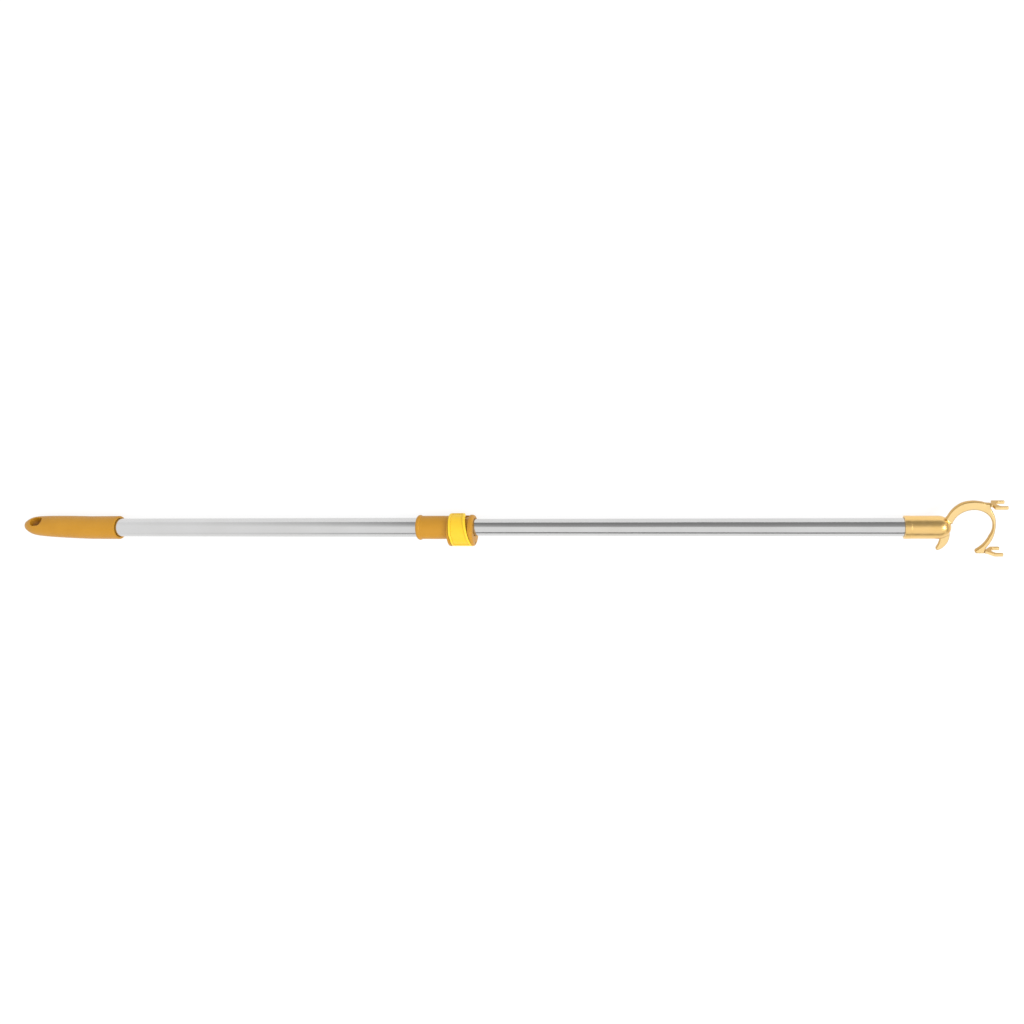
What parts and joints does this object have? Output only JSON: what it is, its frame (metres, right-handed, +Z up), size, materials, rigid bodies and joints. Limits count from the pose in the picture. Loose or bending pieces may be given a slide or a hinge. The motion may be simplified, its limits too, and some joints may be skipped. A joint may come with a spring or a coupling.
{
  "type": "telescopic reach pole",
  "caption": "Telescopic reach pole with a moulded grip, metal tubes, a flip-lever clamp and a round hook that ends in small forks for clothes hangers.",
  "frame": {"origin": "centre of the object along X and Y, at its lowest point, with the tubes at a middle length, the head at +X and the lever shut", "axes": "+X along the pole towards the hook, +Z up out of the hook's flat face, +Y across the pole towards the side the hook's arm springs from"},
  "size_m": [1.1276, 0.0566, 0.0361],
  "materials": {
    "stainless": "polished stainless steel",
    "gold_plate": "gold-coloured plating, polished, on a cast zinc alloy",
    "ochre_plastic": "satin",
    "yellow_plastic": "satin gloss",
    "white_nylon": "as moulded",
    "black_rubber": "matte"
  },
  "bodies": {
    "handle": {"grip": "ochre_plastic", "outer_tube": "stainless", "end_buffer": "black_rubber", "clamp_body": "ochre_plastic", "clamp_screw": "stainless", "hinge_pin": "stainless"},
    "lever": {"lever": "yellow_plastic"},
    "shoe": {"brake_shoe": "black_rubber"},
    "collar": {"tail_collar": "white_nylon"},
    "head": {"inner_tube": "stainless", "tail_plug": "white_nylon", "tail_pin": "stainless", "hook_head": "gold_plate", "head_screw": "stainless", "upper_fork": "gold_plate", "lower_fork": "gold_plate"}
  },
  "joints": [
    {"name": "lever_flip", "type": "hinge", "parent": "handle", "child": "lever", "pos_m": [0, -0.01613, 0.02298], "axis": [1, 0, 0], "range_deg": [0, 105]},
    {"name": "shoe_press", "type": "slide", "parent": "handle", "child": "shoe", "axis": [0, -0.9272, 0.3746], "range_m": [0, 0.0007]},
    {"name": "pole_slide", "type": "slide", "parent": "handle", "child": "collar", "axis": [1, 0, 0], "range_m": [-0.43, 0.02]},
    {"name": "head_turn", "type": "hinge", "parent": "collar", "child": "head", "pos_m": [0, 0, 0.01646], "axis": [1, 0, 0], "continuous": true}
  ],
  "couplings": [
    {"joint": "shoe_press", "follows": "lever_flip", "m_per_rad": 0.00036}
  ]
}
